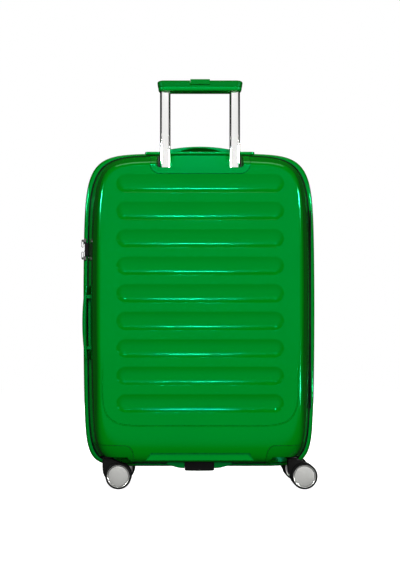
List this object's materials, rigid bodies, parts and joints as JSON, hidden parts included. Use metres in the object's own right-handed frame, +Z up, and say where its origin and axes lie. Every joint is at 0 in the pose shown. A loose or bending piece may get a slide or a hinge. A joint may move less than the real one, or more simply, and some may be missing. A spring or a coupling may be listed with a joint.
{
  "type": "suitcase",
  "caption": "Upright hard-shell suitcase with zipped halves, channelled panels, telescopic trolley, carry handles, dial lock and swivelling casters.",
  "frame": {"origin": "on the floor, under the middle of the case", "axes": "+Z up; -Y towards the rear, the side with the trolley; +X towards the hinge; the two halves part at y = 0"},
  "size_m": [0.4661, 0.2546, 0.7778],
  "materials": {
    "shell_green": "glossy moulded shell",
    "moulding_green": "satin moulding",
    "black_plastic": "satin moulding",
    "lining_grey": "woven lining",
    "zip_black": "woven tape",
    "tube_aluminium": "satin anodised",
    "metal_chrome": "plated",
    "wheel_grey": "moulded wheel with a grey hub cap"
  },
  "bodies": {
    "root": {"rear_shell": "shell_green", "rear_lining": "lining_grey", "zip_tape_rear": "zip_black", "trolley_bezel": "moulding_green", "outer_tube_left": "tube_aluminium", "outer_tube_right": "tube_aluminium", "tube_foot_bracket": "black_plastic", "side_handle_cup": "black_plastic", "top_handle_cup": "black_plastic", "wheel_housing_rear_left": "moulding_green", "wheel_housing_rear_right": "moulding_green", "bottom_grip_base": "moulding_green", "bottom_grip": "black_plastic", "lock_catch": "black_plastic", "hinge_gusset": "zip_black", "packing_straps": "zip_black", "strap_buckle": "black_plastic"},
    "top_handle_body": {"top_handle": "moulding_green"},
    "side_handle_body": {"side_handle": "moulding_green"},
    "trolley_mid": {"mid_tube_left": "tube_aluminium", "mid_tube_right": "tube_aluminium"},
    "trolley_grip": {"inner_tube_left": "tube_aluminium", "inner_tube_right": "tube_aluminium", "grip_cover": "moulding_green", "grip_base": "moulding_green"},
    "grip_release": {"grip_button": "moulding_green", "release_yoke": "metal_chrome"},
    "lid": {"front_shell": "shell_green", "front_lining": "lining_grey", "lid_pocket": "lining_grey", "zip_tape_front": "zip_black", "wheel_housing_front_left": "moulding_green", "wheel_housing_front_right": "moulding_green", "lock_body": "black_plastic"},
    "dial_1": {"lock_dial_1": "metal_chrome"},
    "dial_2": {"lock_dial_2": "metal_chrome"},
    "dial_3": {"lock_dial_3": "metal_chrome"},
    "lock_release_body": {"lock_release": "metal_chrome"},
    "slider_upper": {"zip_slider_upper": "metal_chrome"},
    "slider_lower": {"zip_slider_lower": "metal_chrome"},
    "pull_upper": {"zip_pull_upper": "metal_chrome"},
    "pull_lower": {"zip_pull_lower": "metal_chrome"},
    "caster_rear_left": {"fork_rear_left": "black_plastic"},
    "wheels_rear_left": {"axle_rear_left": "metal_chrome", "wheel_outer_rear_left": "wheel_grey", "wheel_inner_rear_left": "wheel_grey"},
    "caster_rear_right": {"fork_rear_right": "black_plastic"},
    "wheels_rear_right": {"axle_rear_right": "metal_chrome", "wheel_outer_rear_right": "wheel_grey", "wheel_inner_rear_right": "wheel_grey"},
    "caster_front_left": {"fork_front_left": "black_plastic"},
    "wheels_front_left": {"axle_front_left": "metal_chrome", "wheel_outer_front_left": "wheel_grey", "wheel_inner_front_left": "wheel_grey"},
    "caster_front_right": {"fork_front_right": "black_plastic"},
    "wheels_front_right": {"axle_front_right": "metal_chrome", "wheel_outer_front_right": "wheel_grey", "wheel_inner_front_right": "wheel_grey"}
  },
  "joints": [
    {"name": "lid_hinge", "type": "hinge", "parent": "root", "child": "lid", "pos_m": [0.2315, 0, 0.35], "axis": [0, 0, -1], "range_deg": [0, 180]},
    {"name": "trolley_mid_slide", "type": "slide", "parent": "root", "child": "trolley_mid", "axis": [0, 0, 1], "range_m": [0, 0.2]},
    {"name": "trolley_grip_slide", "type": "slide", "parent": "trolley_mid", "child": "trolley_grip", "axis": [0, 0, 1], "range_m": [-0.143, 0.057]},
    {"name": "button_press", "type": "slide", "parent": "trolley_grip", "child": "grip_release", "axis": [0, 0, -1], "range_m": [0, 0.0035], "stiffness_N_per_m": 2000, "springref_m": -0.002},
    {"name": "top_handle_lift", "type": "slide", "parent": "root", "child": "top_handle_body", "axis": [0, 0, 1], "range_m": [0, 0.012]},
    {"name": "side_handle_pull", "type": "slide", "parent": "root", "child": "side_handle_body", "axis": [-1, 0, 0], "range_m": [0, 0.01]},
    {"name": "lock_dial_1_turn", "type": "hinge", "parent": "lid", "child": "dial_1", "pos_m": [-0.2246, 0.0225, 0.468], "axis": [0, 1, 0], "continuous": true},
    {"name": "lock_dial_2_turn", "type": "hinge", "parent": "lid", "child": "dial_2", "pos_m": [-0.2246, 0.0305, 0.468], "axis": [0, 1, 0], "continuous": true},
    {"name": "lock_dial_3_turn", "type": "hinge", "parent": "lid", "child": "dial_3", "pos_m": [-0.2246, 0.0385, 0.468], "axis": [0, 1, 0], "continuous": true},
    {"name": "lock_release_slide", "type": "slide", "parent": "lid", "child": "lock_release_body", "axis": [0, 0, 1], "range_m": [0, 0.005], "stiffness_N_per_m": 100, "springref_m": -0.001},
    {"name": "zip_slider_upper_slide", "type": "slide", "parent": "lid", "child": "slider_upper", "axis": [0, 0, 1], "range_m": [0, 0.075]},
    {"name": "zip_slider_lower_slide", "type": "slide", "parent": "lid", "child": "slider_lower", "axis": [0, 0, -1], "range_m": [0, 0.2]},
    {"name": "zip_pull_upper_swing", "type": "hinge", "parent": "slider_upper", "child": "pull_upper", "pos_m": [-0.2328, 0.0028, 0.4857], "axis": [0, 1, 0], "range_deg": [0, 165]},
    {"name": "zip_pull_lower_swing", "type": "hinge", "parent": "slider_lower", "child": "pull_lower", "pos_m": [-0.2328, 0.0028, 0.4503], "axis": [0, -1, 0], "range_deg": [0, 165]},
    {"name": "swivel_rear_left", "type": "hinge", "parent": "root", "child": "caster_rear_left", "pos_m": [-0.178, -0.08, 0.0625], "axis": [0, 0, 1], "continuous": true},
    {"name": "wheel_spin_rear_left", "type": "hinge", "parent": "caster_rear_left", "child": "wheels_rear_left", "pos_m": [-0.156, -0.08, 0.025], "axis": [0, 1, 0], "continuous": true},
    {"name": "swivel_rear_right", "type": "hinge", "parent": "root", "child": "caster_rear_right", "pos_m": [0.178, -0.08, 0.0625], "axis": [0, 0, 1], "continuous": true},
    {"name": "wheel_spin_rear_right", "type": "hinge", "parent": "caster_rear_right", "child": "wheels_rear_right", "pos_m": [0.2, -0.08, 0.025], "axis": [0, 1, 0], "continuous": true},
    {"name": "swivel_front_left", "type": "hinge", "parent": "lid", "child": "caster_front_left", "pos_m": [-0.178, 0.08, 0.0625], "axis": [0, 0, 1], "continuous": true},
    {"name": "wheel_spin_front_left", "type": "hinge", "parent": "caster_front_left", "child": "wheels_front_left", "pos_m": [-0.156, 0.08, 0.025], "axis": [0, 1, 0], "continuous": true},
    {"name": "swivel_front_right", "type": "hinge", "parent": "lid", "child": "caster_front_right", "pos_m": [0.178, 0.08, 0.0625], "axis": [0, 0, 1], "continuous": true},
    {"name": "wheel_spin_front_right", "type": "hinge", "parent": "caster_front_right", "child": "wheels_front_right", "pos_m": [0.2, 0.08, 0.025], "axis": [0, 1, 0], "continuous": true}
  ]
}
